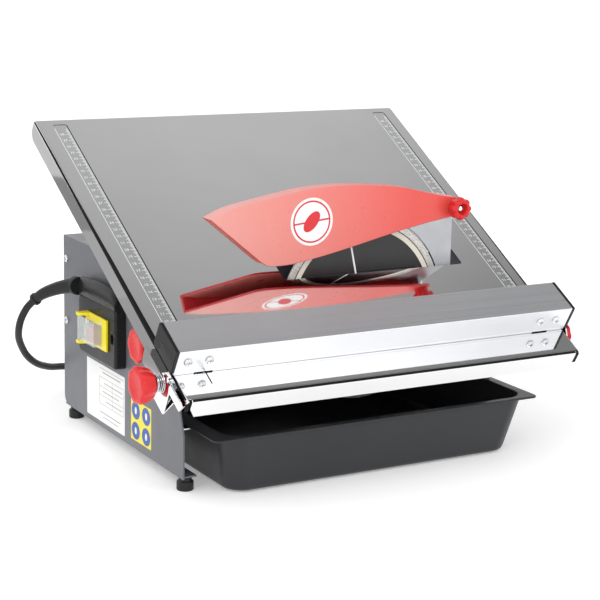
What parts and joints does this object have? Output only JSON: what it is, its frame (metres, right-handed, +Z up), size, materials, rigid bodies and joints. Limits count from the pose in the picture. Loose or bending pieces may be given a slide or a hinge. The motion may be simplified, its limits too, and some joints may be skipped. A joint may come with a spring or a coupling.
{
  "type": "wet tile saw",
  "caption": "Portable wet tile saw: tilting steel table with a sliding fence, hooded blade on a motor in a grey housing, switch box and pull-out water tray.",
  "frame": {"origin": "on the floor, under the middle of the machine's box, without its lead", "axes": "+X right along the table's long edge and the blade, +Y to the back, +Z up"},
  "size_m": [0.4602, 0.4979, 0.3125],
  "materials": {
    "stainless": "brushed, half mirror",
    "aluminium": "satin extrusion",
    "zinc": "bright zinc plate",
    "steel": "turned",
    "grey_paint": "slate grey powder coat",
    "red_plastic": "moulded red",
    "black_plastic": "moulded black",
    "tray_plastic": "charcoal, fine grain",
    "rubber": "black",
    "yellow_plastic": "moulded yellow",
    "green_plastic": "moulded green",
    "clear_plastic": "clear",
    "copper": "lacquered winding and laminations",
    "blade_face": "black printed steel with a diamond rim"
  },
  "bodies": {
    "housing": {"left_side_panel": "grey_paint", "right_side_panel": "grey_paint", "rear_cover": "grey_paint", "bulkhead": "grey_paint", "tray_rail_left": "zinc", "tray_rail_right": "zinc", "foot_front_left": "rubber", "foot_front_right": "rubber", "foot_rear_left": "rubber", "foot_rear_right": "rubber", "panel_screw_1": "zinc", "panel_screw_2": "zinc", "motor_front_bell": "aluminium", "front_bearing": "steel", "motor_can": "grey_paint", "rear_bearing": "steel", "stator": "copper", "fan_cowl": "black_plastic", "run_capacitor": "black_plastic", "riving_knife": "zinc", "knife_bracket": "zinc", "guard_bolt": "zinc", "hinge_pin_left": "zinc", "hinge_pin_right": "zinc", "tilt_bolt": "zinc", "switch_box": "black_plastic", "switch_frame": "yellow_plastic", "strain_relief": "rubber", "mains_cord": "rubber", "cord_coil": "rubber", "cord_tail": "rubber", "mains_plug": "rubber"},
    "blade_shaft": {"rotor_shaft": "steel", "cooling_fan": "black_plastic", "inner_flange": "zinc", "blade": "blade_face", "outer_flange": "zinc", "arbor_nut": "steel"},
    "guard": {"blade_guard": "red_plastic"},
    "guard_clamp": {"guard_knob": "red_plastic"},
    "table": {"deck_plate": "stainless", "hinge_plate_left": "zinc", "hinge_plate_right": "zinc"},
    "tilt_clamp": {"tilt_knob": "red_plastic"},
    "fence": {"fence_rail": "aluminium", "fence_cap_left": "black_plastic", "fence_cap_right": "black_plastic", "fence_bracket_left": "zinc", "fence_bracket_right": "zinc", "fence_screw_1": "zinc", "fence_screw_2": "zinc", "fence_screw_3": "zinc", "fence_screw_4": "zinc"},
    "fence_clamp_left": {"fence_knob_left": "red_plastic"},
    "fence_clamp_right": {"fence_knob_right": "red_plastic"},
    "stop_key": {"stop_button": "red_plastic"},
    "start_key": {"start_button": "green_plastic"},
    "flap": {"switch_flap": "clear_plastic"},
    "tray": {"water_tray": "tray_plastic"}
  },
  "joints": [
    {"name": "table_tilt", "type": "hinge", "parent": "housing", "child": "table", "pos_m": [0.0114, -0.0368, 0.1835], "axis": [1, 0, 0], "range_deg": [-29.5, 15.5]},
    {"name": "fence_slide", "type": "slide", "parent": "table", "child": "fence", "axis": [0, 0.8704, 0.4924], "range_m": [-0.028, 0.05]},
    {"name": "fence_knob_left_turn", "type": "hinge", "parent": "fence", "child": "fence_clamp_left", "pos_m": [-0.2086, -0.14867, 0.12251], "axis": [1, 0, 0], "range_deg": [-270, 0]},
    {"name": "fence_knob_right_turn", "type": "hinge", "parent": "fence", "child": "fence_clamp_right", "pos_m": [0.2314, -0.14867, 0.12251], "axis": [1, 0, 0], "range_deg": [0, 270]},
    {"name": "tilt_knob_turn", "type": "hinge", "parent": "housing", "child": "tilt_clamp", "pos_m": [-0.1686, -0.0527, 0.1311], "axis": [1, 0, 0], "range_deg": [-270, 0]},
    {"name": "guard_pivot", "type": "hinge", "parent": "housing", "child": "guard", "pos_m": [0.1484, -0.05825, 0.241], "axis": [0, 1, 0], "range_deg": [0, 70]},
    {"name": "guard_knob_turn", "type": "hinge", "parent": "housing", "child": "guard_clamp", "pos_m": [0.1484, -0.075, 0.241], "axis": [0, -1, 0], "range_deg": [0, 270]},
    {"name": "blade_spin", "type": "hinge", "parent": "housing", "child": "blade_shaft", "pos_m": [0.0504, -0.05825, 0.146], "axis": [0, 1, 0], "continuous": true},
    {"name": "stop_button_press", "type": "slide", "parent": "housing", "child": "stop_key", "axis": [1, 0, 0], "range_m": [0, 0.0025], "stiffness_N_per_m": 600},
    {"name": "start_button_press", "type": "slide", "parent": "housing", "child": "start_key", "axis": [1, 0, 0], "range_m": [0, 0.0025], "stiffness_N_per_m": 600},
    {"name": "switch_flap_turn", "type": "hinge", "parent": "housing", "child": "flap", "pos_m": [-0.1835, 0.0897, 0.117], "axis": [0, 0, -1], "range_deg": [0, 100]},
    {"name": "tray_slide", "type": "slide", "parent": "housing", "child": "tray", "axis": [0, -1, 0], "range_m": [0, 0.19]}
  ]
}
